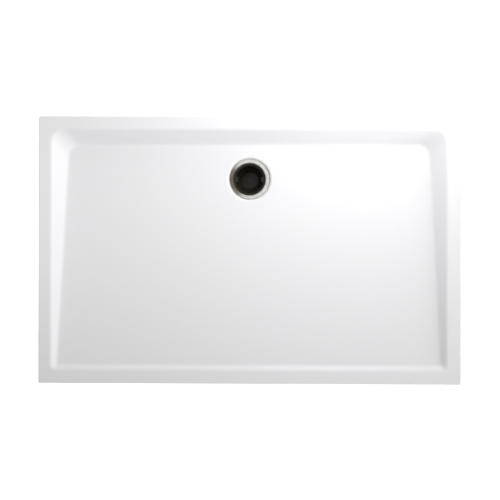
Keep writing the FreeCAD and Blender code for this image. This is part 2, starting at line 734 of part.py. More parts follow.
def waste_flange():
    """The bright ring in the recess; heights are from the recess floor."""
    body = new_body("waste_flange")
    gasket = "Sizes.flange_gasket_height"
    edge = f"({gasket} + Sizes.flange_lip)"
    crown = f"({edge} + Sizes.flange_crown)"
    end = f"(-{SEAT} - {NECK_END})"
    inner = "(Sizes.throat_radius - Sizes.ledge_width)"
    crown_radius = "Sizes.flange_radius - Sizes.flange_crown_inset"
    dish_end = f"({crown} - Sizes.flange_dish)"
    step = f"({dish_end} - Sizes.cover_seat_depth)"
    form = turned(body, "waste_flange_form", [
        ("Sizes.cover_seat_radius", dish_end),
        (crown_radius, crown),
        ("Sizes.flange_radius", edge),
        ("Sizes.flange_radius", gasket),
        (f"{NECK_RADIUS} + Sizes.flange_shoulder", gasket),
        (NECK_RADIUS, f"{gasket} - Sizes.flange_shoulder_drop"),
        (NECK_RADIUS, end),
        (inner, end),
        (inner, f"{end} + Sizes.ledge_height"),
        ("Sizes.throat_radius", f"{end} + Sizes.ledge_height"),
        ("Sizes.throat_radius", step),
        ("Sizes.cover_seat_radius", step),
    ])
    top = size("flange_gasket_height") + size("flange_lip") + size("flange_crown")
    ring = ring_edges(form.Shape, size("flange_radius") - size("flange_crown_inset"), top)
    soft = rounded(body, "waste_flange_crown", form, ring, "Sizes.flange_crown_radius")
    mouth = ring_edges(soft.Shape, size("cover_seat_radius"), top - size("flange_dish"))
    rounded(body, "waste_flange_mouth", soft, mouth, "Sizes.mouth_edge_radius")
    return placed(body, along=WASTE_Y, up=RECESS_FLOOR)


def flange_gasket():
    """The flat seal between the flange and the recess."""
    body = new_body("flange_gasket")
    inner = f"{NECK_RADIUS} + Sizes.flange_shoulder"
    outer = "Sizes.flange_radius - Sizes.gasket_inset"
    turned(body, "flange_gasket_form", [
        (inner, "0"),
        (outer, "0"),
        (outer, "Sizes.flange_gasket_height"),
        (inner, "Sizes.flange_gasket_height"),
    ])
    return placed(body, along=WASTE_Y, up=RECESS_FLOOR)


def collar_gasket():
    """The thick seal between the tray's underside and the trap."""
    body = new_body("collar_gasket")
    inner = "Sizes.waste_hole_radius + Sizes.gasket_inset"
    outer = "Sizes.collar_radius - Sizes.gasket_inset"
    turned(body, "collar_gasket_form", [
        (inner, "-Sizes.collar_gasket_height"),
        (outer, "-Sizes.collar_gasket_height"),
        (outer, "0"),
        (inner, "0"),
    ])
    return placed(body, along=WASTE_Y, up="Sizes.leg_height")


def trap_body():
    """A shallow bowl with a collar on top and a pipe socket at its side."""
    body = new_body("trap_body")
    top = "-Sizes.collar_gasket_height"
    under_collar = f"{top} - Sizes.collar_height"
    turned(body, "trap_outside", [
        ("0", "-Sizes.bowl_depth"),
        ("Sizes.bowl_radius - Sizes.bowl_draft", "-Sizes.bowl_depth"),
        ("Sizes.bowl_radius", under_collar),
        ("Sizes.collar_radius", under_collar),
        ("Sizes.collar_radius", top),
        ("0", top),
    ])
    stub = circle(body, "outlet_circle", "YZ_Plane", "Sizes.outlet_radius",
                  up="-Sizes.outlet_drop")
    pad(body, "outlet_stub", stub, "Sizes.outlet_length")
    inside = "(Sizes.bowl_radius - Sizes.bowl_wall)"
    hollow = turned_cut(body, "trap_inside", [
        ("0", "Sizes.bowl_wall - Sizes.bowl_depth"),
        (f"{inside} - Sizes.bowl_draft", "Sizes.bowl_wall - Sizes.bowl_depth"),
        (inside, f"-{NECK_END} - Sizes.bowl_shoulder"),
        (NECK_RADIUS, f"-{NECK_END}"),
        (NECK_RADIUS, top),
        ("0", top),
    ])
    foot = size("bowl_radius") - size("bowl_draft")
    sump_edge = ring_edges(hollow.Shape, foot - size("bowl_wall"),
                           size("bowl_wall") - size("bowl_depth"))
    sump = rounded(body, "trap_sump", hollow, sump_edge,
                   "Sizes.bowl_edge_radius - Sizes.bowl_wall")
    bottom_edge = ring_edges(sump.Shape, foot, -size("bowl_depth"))
    rounded(body, "trap_bottom", sump, bottom_edge, "Sizes.bowl_edge_radius")
    way = circle(body, "waterway_circle", "YZ_Plane", "Sizes.outlet_bore",
                 up="-Sizes.outlet_drop")
    pocket(body, "waterway", way, "Sizes.outlet_length", back=True)
    socket = circle(body, "socket_circle", "YZ_Plane", "Sizes.pipe_bore",
                    up="-Sizes.outlet_drop", level="Sizes.outlet_length - Sizes.pipe_depth")
    pocket(body, "pipe_socket", socket, "Sizes.pipe_depth", back=True)
    return placed(body, along=WASTE_Y, up="Sizes.leg_height")


CUP_BOTTOM = f"({LEDGE_TOP} + Sizes.seat_gap)"
CUP_TOP = f"({CUP_BOTTOM} + Sizes.cup_rim_height)"
RING_RADIUS = "(Sizes.throat_radius - Sizes.ring_play - Sizes.ring_section / 2)"
RING_LEVEL = f"(({CUP_BOTTOM} + {CUP_TOP}) / 2)"


def trap_cup():
    """The lift-out cup: a rim with a sealing groove, a funnel and a dip tube."""
    body = new_body("trap_cup")
    rim = "(Sizes.throat_radius - Sizes.cup_play)"
    groove = f"({RING_RADIUS} - Sizes.ring_section / 2)"
    half_groove = "(Sizes.ring_section + Sizes.ring_groove_play) / 2"
    collar = "(Sizes.throat_radius - Sizes.ledge_width - Sizes.cup_play)"
    below_ledge = f"({CUP_BOTTOM} - Sizes.ledge_height)"
    tube_top = f"({below_ledge} - Sizes.cup_funnel_height)"
    inner_tube = "(Sizes.dip_tube_radius - Sizes.cup_wall)"
    turned(body, "trap_cup_form", [
        ("Sizes.cup_opening", CUP_TOP),
        (rim, CUP_TOP),
        (rim, f"{RING_LEVEL} + {half_groove}"),
        (groove, f"{RING_LEVEL} + {half_groove}"),
        (groove, f"{RING_LEVEL} - {half_groove}"),
        (rim, f"{RING_LEVEL} - {half_groove}"),
        (rim, CUP_BOTTOM),
        (collar, CUP_BOTTOM),
        (collar, below_ledge),
        ("Sizes.dip_tube_radius", tube_top),
        ("Sizes.dip_tube_radius", "-Sizes.dip_tube_end"),
        (inner_tube, "-Sizes.dip_tube_end"),
        (inner_tube, tube_top),
        ("Sizes.cup_opening", CUP_BOTTOM),
    ])
    tab = polygon(body, "cup_lug_outline", "XZ_Plane", [
        ("Sizes.cup_opening - Sizes.cup_lug_reach", CUP_TOP),
        ("Sizes.cup_opening - Sizes.cup_lug_reach", f"{CUP_TOP} - Sizes.cup_lug_height"),
        (groove, f"{CUP_TOP} - Sizes.cup_lug_height"),
        (groove, CUP_TOP),
    ])
    lug = pad(body, "cup_lug", tab, "Sizes.cup_lug_width", midplane=True)
    repeated(body, "cup_lugs", lug, tab, "V_Axis", "Sizes.cup_lug_count")
    return placed(body, along=WASTE_Y, up="Sizes.leg_height")


def cup_ring():
    """The round sealing ring in the cup's groove."""
    ring = doc.addObject("Part::Torus", "cup_ring")
    ring.Label = "cup_ring"
    ring.setExpression("Radius1", RING_RADIUS)
    ring.setExpression("Radius2", "Sizes.ring_section / 2")
    return placed(ring, along=WASTE_Y, up=f"Sizes.leg_height + {RING_LEVEL}")


def at_outlet(body):
    """Turn a piece so that its own axis runs out of the trap's outlet."""
    body.Placement = FreeCAD.Placement(FreeCAD.Vector(0, 0, 0),
                                       FreeCAD.Rotation(FreeCAD.Vector(0, 1, 0), 90))
    return placed(body, "Sizes.outlet_length", WASTE_Y, "Sizes.leg_height - Sizes.outlet_drop")


def outlet_ring(label, start, length):
    """A flat or thick ring round the pipe, inside the union nut."""
    body = new_body(label)
    turned(body, label + "_form", [
        ("Sizes.pipe_bore", start),
        ("Sizes.outlet_radius", start),
        ("Sizes.outlet_radius", f"{start} + {length}"),
        ("Sizes.pipe_bore", f"{start} + {length}"),
    ])
    return at_outlet(body)


def outlet_nut():
    """The ribbed union nut that squeezes the seal on to the pipe."""
    body = new_body("outlet_nut")
    wall = "(Sizes.outlet_seal_length + Sizes.outlet_washer_length)"
    end = f"({wall} + Sizes.outlet_nut_end)"
    turned(body, "outlet_nut_form", [
        ("Sizes.outlet_radius", "-Sizes.outlet_nut_grip"),
        ("Sizes.outlet_nut_radius", "-Sizes.outlet_nut_grip"),
        ("Sizes.outlet_nut_radius", end),
        ("Sizes.pipe_bore", end),
        ("Sizes.pipe_bore", wall),
        ("Sizes.outlet_radius", wall),
    ])
    spot = circle(body, "outlet_nut_spot", "XY_Plane", "Sizes.outlet_nut_rib_radius",
                  "Sizes.outlet_nut_radius", level="-Sizes.outlet_nut_grip")
    rib = pad(body, "outlet_nut_rib", spot, f"Sizes.outlet_nut_grip + {wall}")
    repeated(body, "outlet_nut_ribs", rib, spot, "N_Axis", "Sizes.outlet_nut_rib_count")
    return at_outlet(body)


waste_pieces = [
    waste_flange(),
    flange_gasket(),
    collar_gasket(),
    trap_body(),
    trap_cup(),
    cup_ring(),
    outlet_ring("outlet_seal", "0", "Sizes.outlet_seal_length"),
    outlet_ring("outlet_washer", "Sizes.outlet_seal_length", "Sizes.outlet_washer_length"),
    outlet_nut(),
]

# ---------------------------------------------------------------------------------------------
# Check every object, then write each piece
# ---------------------------------------------------------------------------------------------

doc.recompute()
faults = [item.Label for item in doc.Objects
          if "Invalid" in item.State or "Error" in item.State]
pieces = [tray_skin, tray_core] + leg_pieces + waste_pieces
for piece in pieces:
    shape = piece.Shape
    if shape.isNull() or not shape.isValid() or not shape.Solids:
        faults.append(piece.Label)
if faults:
    raise RuntimeError("not sound: " + ", ".join(faults))

os.makedirs("parts", exist_ok=True)
for piece in pieces:
    piece.Shape.exportStep(f"parts/{piece.Label}.step")
    print(f"{piece.Label}: {len(piece.Shape.Solids)} solid(s), {piece.Shape.Volume:.0f} mm3")
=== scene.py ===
import math

import bmesh
import bpy
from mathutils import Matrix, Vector
import numpy as np


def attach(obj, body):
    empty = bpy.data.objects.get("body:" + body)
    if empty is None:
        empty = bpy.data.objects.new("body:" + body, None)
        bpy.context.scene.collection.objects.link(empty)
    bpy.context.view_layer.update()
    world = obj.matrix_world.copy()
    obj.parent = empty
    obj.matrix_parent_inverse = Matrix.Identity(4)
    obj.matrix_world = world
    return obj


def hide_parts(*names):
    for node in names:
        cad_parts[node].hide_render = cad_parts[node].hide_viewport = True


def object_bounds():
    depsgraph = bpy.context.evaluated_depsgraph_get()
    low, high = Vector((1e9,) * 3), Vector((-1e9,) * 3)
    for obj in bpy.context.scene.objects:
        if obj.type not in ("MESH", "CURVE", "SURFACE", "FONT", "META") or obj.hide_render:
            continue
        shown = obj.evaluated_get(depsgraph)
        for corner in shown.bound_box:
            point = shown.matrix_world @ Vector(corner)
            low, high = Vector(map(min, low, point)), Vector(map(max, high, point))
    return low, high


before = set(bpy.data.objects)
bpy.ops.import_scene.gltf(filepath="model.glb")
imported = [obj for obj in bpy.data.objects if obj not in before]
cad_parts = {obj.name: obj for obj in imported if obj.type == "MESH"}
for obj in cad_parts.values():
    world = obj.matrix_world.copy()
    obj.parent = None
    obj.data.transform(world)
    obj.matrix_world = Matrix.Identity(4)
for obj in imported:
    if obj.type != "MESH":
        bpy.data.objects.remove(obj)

cad_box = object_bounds()

# --- Acrylic skin ------------------------------------------------------------------------------
# The white cap that the bather stands on: a 3 mm sheet of cast acrylic, warmed, drawn over a
# mould and trimmed.  It is bonded to the core, and keeps a satin gloss.


def linear(code):
    """An sRGB hex colour as linear red, green, blue and alpha."""
    parts = [int(code[i:i + 2], 16) / 255 for i in (1, 3, 5)]
    return [p / 12.92 if p <= 0.04045 else ((p + 0.055) / 1.055) ** 2.4 for p in parts] + [1.0]


def add_node(tree, kind, values=None, links=None, **settings):
    """A node with its settings, the values of its sockets, and the links that come into it."""
    node = tree.nodes.new(kind)
    for setting, value in settings.items():
        setattr(node, setting, value)
    for socket, value in (values or {}).items():
        node.inputs[socket].default_value = value
    for socket, source in (links or {}).items():
        tree.links.new(source, node.inputs[socket])
    return node


NOISE_LOW, NOISE_HIGH = 0.3, 0.7      # a noise value mostly lies between these


def cast_finish(name, pale, deep, patch_mm, grain_mm, grain_depth_mm, roughness, **shader):
    """A moulded or cast surface: two close shades in patches, a roughness that drifts with the
    patches between its two values, and a fine grain of the given depth as bump."""
    material = bpy.data.materials.new(name)
    material.use_nodes = True
    tree = material.node_tree
    tree.nodes.clear()
    place = add_node(tree, "ShaderNodeTexCoord").outputs["Object"]
    patches = add_node(tree, "ShaderNodeTexNoise", {"Scale": 1000 / patch_mm, "Detail": 4.0},
                       {"Vector": place}).outputs["Fac"]
    grit = add_node(tree, "ShaderNodeTexNoise", {"Scale": 1000 / grain_mm, "Detail": 2.0},
                    {"Vector": place}).outputs["Fac"]
    shade = add_node(tree, "ShaderNodeMix", {6: linear(pale), 7: linear(deep)}, {0: patches},
                     data_type="RGBA")
    drift = add_node(tree, "ShaderNodeMapRange", {
        "From Min": NOISE_LOW, "From Max": NOISE_HIGH,
        "To Min": roughness[0], "To Max": roughness[1],
    }, {"Value": patches})
    grain = add_node(tree, "ShaderNodeBump", {"Distance": grain_depth_mm / 1000}, {"Height": grit})
    skin = add_node(tree, "ShaderNodeBsdfPrincipled", shader, {
        "Base Color": shade.outputs[2],
        "Roughness": drift.outputs["Result"],
        "Normal": grain.outputs["Normal"],
    })
    add_node(tree, "ShaderNodeOutputMaterial", links={"Surface": skin.outputs["BSDF"]})
    return material, tree, skin, place


def dress(node, material):
    """Give a CAD node its finish."""
    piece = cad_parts[node]
    piece.data.materials.clear()
    piece.data.materials.append(material)


# Drawn acrylic: next to no grain, only the orange peel of the mould, a micrometre deep.
acrylic = cast_finish("cast_acrylic_drawn_white", "#f0f0f2", "#eeeff1", 260, 3, 0.001,
                      (0.24, 0.27), IOR=1.49)[0]
dress("tray_skin", acrylic)

# --- Core --------------------------------------------------------------------------------------
# The stiff body under the skin: crushed stone bound with resin, poured into a ribbed mould.
# It is chalky and off-white, with air pits in its surface.

PIT_SPACING_MM = 9.0
PIT_DEPTH_MM = 0.6
PIT_FLOOR, PIT_EDGE = 0.06, 0.16      # radii of a pit's floor and edge, as shares of the spacing

stone_resin, tree, skin, place = cast_finish(
    "cast_stone_resin_raw", "#d6d2c8", "#bdb8ad", 60, 2.5, 0.12, (0.75, 0.92), IOR=1.5)
cells = add_node(tree, "ShaderNodeTexVoronoi", {"Scale": 1000 / PIT_SPACING_MM, "Randomness": 1.0},
                 {"Vector": place}, feature="F1")
pits = add_node(tree, "ShaderNodeMapRange", {"From Min": PIT_FLOOR, "From Max": PIT_EDGE},
                {"Value": cells.outputs["Distance"]})
pitted = add_node(tree, "ShaderNodeBump", {"Distance": PIT_DEPTH_MM / 1000, "Strength": 0.8}, {
    "Height": pits.outputs["Result"],
    "Normal": skin.inputs["Normal"].links[0].from_socket,
})
tree.links.new(pitted.outputs["Normal"], skin.inputs["Normal"])
dress("tray_core", stone_resin)

# --- Waste flange ------------------------------------------------------------------------------
# The bright dished ring in the floor: brass, turned on a lathe and chromed, which mirrors the
# room through faint rings of the tool.  Its neck runs through the tray and screws into the trap,
# which clamps tray and seals between the two.

WASTE_MM = (0.0, 203.0, 0.0)      # the axis of flange, trap and cup
TURNING_MM = 0.9                  # the tool's marks are finer; this is as fine as can show
TURNING_DEPTH_MM = 0.02
WAVE_PERIOD = 2 * math.pi / 20    # of the wave texture's rings at a scale of 1, in metres

chrome, tree, skin, place = cast_finish(
    "turned_brass_chromed", "#f0eeea", "#e4e0d9", 12, 1.5, 0.002, (0.16, 0.26), Metallic=1.0)
centred = add_node(tree, "ShaderNodeMapping", {"Location": [-c / 1000 for c in WASTE_MM]},
                   {"Vector": place})
marks = add_node(tree, "ShaderNodeTexWave",
                 {"Scale": WAVE_PERIOD / (TURNING_MM / 1000), "Distortion": 0.4},
                 {"Vector": centred.outputs["Vector"]}, wave_type="RINGS", rings_direction="Z")
turned = add_node(tree, "ShaderNodeBump", {"Distance": TURNING_DEPTH_MM / 1000, "Strength": 1.0}, {
    "Height": marks.outputs["Fac"],
    "Normal": skin.inputs["Normal"].links[0].from_socket,
})
tree.links.new(turned.outputs["Normal"], skin.inputs["Normal"])

MERGE_MM = 0.001                  # points nearer than this are one
CREASE = math.radians(40)         # edges that bend by more stay sharp


def lathe_mesh(name, points, material):
    """A mesh through rows of points in millimetres; each row is a ring that closes on itself, and
    the rows run from one pole to the other, or back to the first row.  Poles and the seam are
    merged."""
    rows, columns = points.shape[:2]
    index = np.arange(rows * columns).reshape(rows, columns)
    after = np.roll(index, -1, axis=1)
    faces = np.stack([index[:-1], after[:-1], after[1:], index[1:]], axis=-1).reshape(-1, 4)
    data = bpy.data.meshes.new(name)
    data.from_pydata(points.reshape(-1, 3) / 1000, [], faces)
    shell = bmesh.new()
    shell.from_mesh(data)
    bmesh.ops.remove_doubles(shell, verts=shell.verts, dist=MERGE_MM / 1000)
    bmesh.ops.recalc_face_normals(shell, faces=shell.faces)
    shell.to_mesh(data)
    shell.free()
    data.materials.append(material)
    data.shade_smooth()
    data.set_sharp_from_angle(angle=CREASE)
    piece = bpy.data.objects.new(name, data)
    bpy.context.scene.collection.objects.link(piece)
    return piece


def eased(outline, ease):
    """An outline whose inner corners are rounded off, each by a curve that starts and ends that
    far from the corner, or nearer where a side is short, so that two curves never meet."""
    outline = np.asarray(outline, dtype=float)
    curve = [outline[0]]
    for before, corner, after in zip(outline, outline[1:], outline[2:]):
        there, back = before - corner, after - corner
        reach = min(ease, 0.45 * np.linalg.norm(there), 0.45 * np.linalg.norm(back))
        start = corner + there / np.linalg.norm(there) * reach
        end = corner + back / np.linalg.norm(back) * reach
        for t in np.linspace(0, 1, 5):
            curve.append((1 - t) ** 2 * start + 2 * t * (1 - t) * corner + t ** 2 * end)
    curve.append(outline[-1])
    return np.array(curve)


def full_turn(columns):
    """Angles that divide a full turn into that many columns."""
    return np.linspace(0, 2 * math.pi, columns, endpoint=False)


def upright(radius, heights):
    """A stretch of outline that runs at one radius through the given heights."""
    return np.stack([0 * heights + radius, heights], axis=1)


def turned_points(radius, turn, height):
    """Points at those radii and heights, in rings by columns, and at each column's angle."""
    return np.stack([radius * np.cos(turn), radius * np.sin(turn), height], axis=-1)


def thread_groove(height, turn, pitch):
    """How deep a rounded thread is cut there, from 0 at its crest to 1 at its root: a cosine of
    height over pitch less turn, stretched and cut off flat at both."""
    return np.clip(0.5 + 0.9 * np.cos(2 * math.pi * height / pitch - turn), 0, 1)


FLANGE_RADIUS_MM = 57.1
FLANGE_THICKNESS_MM = 2.8
FLANGE_EASE_MM = 0.35
LIP_CHAMFER_MM = (0.5, 0.4)       # across and down
DISH_DEPTH_MM = 2.2               # over 9.5 mm: the dish leans 13 degrees
MOUTH_RADIUS_MM = 46.8
MOUTH_DEPTH_MM = 18.6             # from the crown to the step into the throat
MOUTH_CHAMFER_MM = (0.3, 0.2)
THROAT_RADIUS_MM = 46.0
LEDGE_RADIUS_MM = 43.0            # the ledge at the neck's end, on which the cup hangs
LEDGE_THICKNESS_MM = 2.0
SHOULDER_RADIUS_MM = 51.5         # where the flange starts to run out into its neck
SHOULDER_HEIGHT_MM = 2.5
NECK_RADIUS_MM = 48.0
NECK_PLAIN_MM = 5.0               # from the seat to the thread
NECK_PITCH_MM = 2.0
NECK_GROOVE_MM = 0.6
levels = [1000 * corner[2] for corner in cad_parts["waste_flange"].bound_box]
crown, neck_end = max(levels), min(levels)
seat = crown - FLANGE_THICKNESS_MM          # where the flange lies on its seal
groove_start = seat - NECK_PLAIN_MM


def flange_points():
    """The flange in millimetres, an outline turned about the waste's axis: the ledge, throat and
    mouth, the dish and its thin lip, the shoulder, and the neck's thread, where the radius falls
    by the groove's depth."""
    ledge = neck_end + LEDGE_THICKNESS_MM
    step = crown - MOUTH_DEPTH_MM
    dish = crown - DISH_DEPTH_MM
    top = [
        (LEDGE_RADIUS_MM, ledge),
        (THROAT_RADIUS_MM, ledge),
        (THROAT_RADIUS_MM, step),
        (MOUTH_RADIUS_MM, step),
        (MOUTH_RADIUS_MM, dish - MOUTH_CHAMFER_MM[1]),
        (MOUTH_RADIUS_MM + MOUTH_CHAMFER_MM[0], dish),
        (FLANGE_RADIUS_MM - LIP_CHAMFER_MM[0], crown),
        (FLANGE_RADIUS_MM, crown - LIP_CHAMFER_MM[1]),
        (FLANGE_RADIUS_MM, seat),
        (SHOULDER_RADIUS_MM, seat),
        (NECK_RADIUS_MM, seat - SHOULDER_HEIGHT_MM),
        (NECK_RADIUS_MM, groove_start + 0.3),
    ]
    thread = upright(NECK_RADIUS_MM, np.arange(groove_start, neck_end + 1, -NECK_PITCH_MM / 8))
    end = [(NECK_RADIUS_MM - NECK_GROOVE_MM, neck_end), (LEDGE_RADIUS_MM, neck_end), top[0]]
    outline = np.concatenate([eased(top, FLANGE_EASE_MM), thread, end])
    turn = full_turn(180)
    radius = outline[:, :1]
    height = np.repeat(outline[:, 1:], len(turn), axis=1)
    on_thread = (radius == NECK_RADIUS_MM) & (height < groove_start - 0.1)
    cut = np.where(on_thread, NECK_GROOVE_MM * thread_groove(height, turn, NECK_PITCH_MM), 0)
    return turned_points(radius - cut, turn, height)


flange = lathe_mesh("turned_waste_flange", flange_points() + WASTE_MM, chrome)
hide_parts("waste_flange")
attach(flange, "tray")

# --- Seals -------------------------------------------------------------------------------------
# A flat washer under the flange, a thick one under the tray, the cup's round ring and the pipe
# seal: black rubber, stamped or moulded, dull with a trace of talc.

seal_rubber = cast_finish("nitrile_rubber_black", "#1d1d1e", "#2b2b2c", 15, 0.8, 0.03,
                          (0.6, 0.8), IOR=1.52)[0]
for node in ("flange_gasket", "collar_gasket", "cup_ring", "outlet_seal"):
    dress(node, seal_rubber)

# --- Trap --------------------------------------------------------------------------------------
# A shallow bowl that holds the water seal, with a collar for the flange's neck and a socket for
# the pipe: dark grey polypropylene, injection moulded, with a satin, slightly waxy surface.

polypropylene = cast_finish("polypropylene_moulded_grey", "#2e2b25", "#37332c", 40, 0.9, 0.02,
                            (0.38, 0.5), IOR=1.49)[0]
for node in ("trap_body", "outlet_nut"):
    dress(node, polypropylene)

# The slip washer between seal and nut is natural nylon, a yellowish white with a soft sheen.
natural_nylon = cast_finish("nylon_natural_stamped", "#ddd8c8", "#d0cab8", 8, 0.6, 0.01,
                            (0.35, 0.5), IOR=1.53)[0]
dress("outlet_washer", natural_nylon)

# --- Trap cup ----------------------------------------------------------------------------------
# The part that lifts out for cleaning: nearly black polypropylene, moulded in one piece, with two
# finger lugs.  It hangs on the flange's ledge, sealed by its ring, and is glossier than the trap.

cup_plastic = cast_finish("polypropylene_moulded_black", "#231f17", "#2a261c", 20, 0.8, 0.02,
                          (0.30, 0.40), IOR=1.49)[0]
dress("trap_cup", cup_plastic)

# --- Leg plates --------------------------------------------------------------------------------
# Flanges with a guide tube and four gussets, screwed up into the core: nylon with glass fibre,
# injection moulded, black with a fine spark-eroded grain.

LEG_ASIDE_MM = 540.0      # the outer legs' axes, left and right of the middle
LEG_ROW_MM = 320.0        # both rows' axes, behind and before the middle
PLACES = {
    f"{row}_{side}": (x, y)
    for row, y in (("back", LEG_ROW_MM), ("front", -LEG_ROW_MM))
    for side, x in (("left", -LEG_ASIDE_MM), ("middle", 0.0), ("right", LEG_ASIDE_MM))
}

black_nylon = cast_finish("nylon_glass_filled_black", "#141415", "#1e1e20", 25, 0.7, 0.05,
                          (0.45, 0.6), IOR=1.53)[0]
for place_name in PLACES:
    dress("leg_plate_" + place_name, black_nylon)

# --- Leg screws --------------------------------------------------------------------------------
# Pan-head screws with a cross recess, four to a leg plate: steel wire, cold headed, rolled and
# zinc plated, with the faint yellow and blue of the plating.

SCREW_CIRCLE_MM = 36.0            # radius of the circle that a plate's four screws lie on
SCREW_SEAT_MM = 90.0              # the underside of the leg plates, above the floor
SCREW_TURN = 1.7                  # from one screw's cross to the next one's, in radians
SCREW_LENGTH_MM = 18.0
SCREW_TIP_MM = 3.0                # from the thread's end to the point's end
SCREW_POINT_MM = (0.9, 1.0)       # radius and length of the blunt point
SCREW_CORE_MM = 1.9               # radius of the shank
SCREW_FILLET_MM = (0.35, 0.1)     # across and up, where the shank leaves the head
SCREW_PITCH_MM = 1.6
SCREW_THREAD_MM = 0.33            # height of the thread
HEAD_RADIUS_MM = 4.5
HEAD_HEIGHT_MM = 3.0
HEAD_DOME_MM = 1.1                # how far the head's face falls towards its edge
HEAD_SIDE_MM = 1.6                # how far the head's side runs down
HEAD_CHAMFER_MM = (0.1, 0.05)     # across and down, at the plate
CROSS_DEPTH_MM = 1.4
CROSS_HALF_WIDTH_MM = 0.75
CROSS_REACH_MM = 2.3              # from the middle to the end of each slot
CROSS_SIDE_SLOPE_MM = 0.3
CROSS_END_SLOPE_MM = 0.5


def screw_points(angle):
    """One screw in millimetres, head down, tip up.  The head's face is a dome that falls by the
    cube of the radius, and sinks into a cross wherever the smaller of |x| and |y| is under half
    a slot's width and the larger under its reach.  On the shank the radius rises to the thread's
    crest with a cosine of height over pitch less turn."""
    turn = full_turn(48)
    closer_rings = np.linspace(0, 2.1, 8)         # where the cross is
    wider_rings = np.linspace(2.4, 4.0, 5)
    radius = np.concatenate([closer_rings, wider_rings, [HEAD_RADIUS_MM - 0.2]])
    radius = radius[:, None] + 0 * turn
    across = np.abs(radius * np.cos(turn + angle))
    along = np.abs(radius * np.sin(turn + angle))
    in_width = (CROSS_HALF_WIDTH_MM - np.minimum(across, along)) / CROSS_SIDE_SLOPE_MM
    in_reach = (CROSS_REACH_MM - np.maximum(across, along)) / CROSS_END_SLOPE_MM
    dome = HEAD_DOME_MM * (radius / HEAD_RADIUS_MM) ** 3 - HEAD_HEIGHT_MM
    face = dome + CROSS_DEPTH_MM * np.clip(in_width, 0, 1) * np.clip(in_reach, 0, 1)

    thread_end = SCREW_LENGTH_MM - SCREW_TIP_MM
    head = [
        (HEAD_RADIUS_MM, -HEAD_SIDE_MM),
        (HEAD_RADIUS_MM, -HEAD_CHAMFER_MM[1]),
        (HEAD_RADIUS_MM - HEAD_CHAMFER_MM[0], 0),
        (SCREW_CORE_MM + SCREW_FILLET_MM[0], 0),
        (SCREW_CORE_MM, SCREW_FILLET_MM[1]),
    ]
    ring_step = SCREW_PITCH_MM / 4
    shank = upright(SCREW_CORE_MM, np.arange(ring_step, thread_end, ring_step))
    tip = [(SCREW_POINT_MM[0], SCREW_LENGTH_MM - SCREW_POINT_MM[1]), (0, SCREW_LENGTH_MM)]
    outline = np.concatenate([head, shank, tip])
    height = np.repeat(outline[:, 1:], len(turn), axis=1)
    on_shank = (height > ring_step / 2) & (height < thread_end)
    crest = np.clip(0.3 + np.cos(2 * math.pi * height / SCREW_PITCH_MM - turn), 0, 1)
    side = outline[:, :1] + np.where(on_shank, SCREW_THREAD_MM * crest, 0)
    return turned_points(np.concatenate([radius, side]), turn, np.concatenate([face, height]))


def joined(name, blocks, material):
    """Several lathe meshes as one piece."""
    parts = [lathe_mesh(f"{name}_{i}", block, material) for i, block in enumerate(blocks)]
    with bpy.context.temp_override(active_object=parts[0], selected_editable_objects=parts):
        bpy.ops.object.join()
    parts[0].name = name
    return parts[0]


zinc = cast_finish("steel_wire_zinc_plated", "#c9c8c2", "#b9bcc2", 3, 0.4, 0.01, (0.28, 0.42),
                   Metallic=1.0)[0]
screws = []
for x, y in PLACES.values():
    for quarter in range(4):
        angle = math.pi / 4 + quarter * math.pi / 2
        centre = (x + SCREW_CIRCLE_MM * math.cos(angle), y + SCREW_CIRCLE_MM * math.sin(angle),
                  SCREW_SEAT_MM)
        screws.append(screw_points(SCREW_TURN * len(screws)) + centre)
leg_screws = joined("leg_screws_headed", screws, zinc)
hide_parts("leg_screws")
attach(leg_screws, "tray")

# --- Adjusting nuts ----------------------------------------------------------------------------
# Finger nuts that carry the guide tubes and turn on the spindles: nylon, moulded, mid grey with a
# soft sheen, with six lobes to grip.

grey_nylon = cast_finish("nylon_moulded_grey", "#6f7275", "#5f6265", 18, 0.7, 0.03,
                         (0.42, 0.55), IOR=1.53)[0]
NUT_LEVEL_MM = 37.7           # the nut's lower face above the floor, at rest
NUT_HEIGHT_MM = 12.0
NUT_RADIUS_MM = 24.0
NUT_EDGE_MM = 1.2
NUT_BORE_MM = 15.08           # radius
NUT_COUNTERSINK_MM = 0.9
LOBE_RADIUS_MM = 5.0          # the lobes' centres lie on the nut's radius
LOBE_BLEND = 60               # the higher, the tighter the hollow between lobe and body


def nut_points():
    """One nut in millimetres: a round body and six lobes, with quarter-round edges and a
    countersunk bore.  Body and lobes are blended: each of their radii is raised to the power of
    LOBE_BLEND, and the outline is that root of the sum."""
    turn = full_turn(120)
    off = (turn + math.pi / 6) % (math.pi / 3) - math.pi / 6      # from the nearest lobe
    reach = np.sqrt(np.clip(LOBE_RADIUS_MM ** 2 - (NUT_RADIUS_MM * np.sin(off)) ** 2, 0, None))
    lobe = NUT_RADIUS_MM * np.cos(off) + reach
    side = (NUT_RADIUS_MM ** LOBE_BLEND + lobe ** LOBE_BLEND) ** (1 / LOBE_BLEND)
    bend = np.linspace(0, math.pi / 2, 5)
    # Each ring: its share of the side's outline, what is added to that, and its height.
    lower = [(1, NUT_EDGE_MM * (math.sin(b) - 1), NUT_EDGE_MM * (1 - math.cos(b))) for b in bend]
    upper = [(1, inset, NUT_HEIGHT_MM - height) for _, inset, height in reversed(lower)]
    bore = [(0, NUT_BORE_MM + NUT_COUNTERSINK_MM, NUT_HEIGHT_MM),
            (0, NUT_BORE_MM, NUT_HEIGHT_MM - NUT_COUNTERSINK_MM),
            (0, NUT_BORE_MM, NUT_COUNTERSINK_MM),
            (0, NUT_BORE_MM + NUT_COUNTERSINK_MM, 0)]
    follows, inset, height = np.array(lower + upper + bore + lower[:1]).T[:, :, None]
    return turned_points(follows * side + inset, turn, NUT_LEVEL_MM + height + 0 * turn)


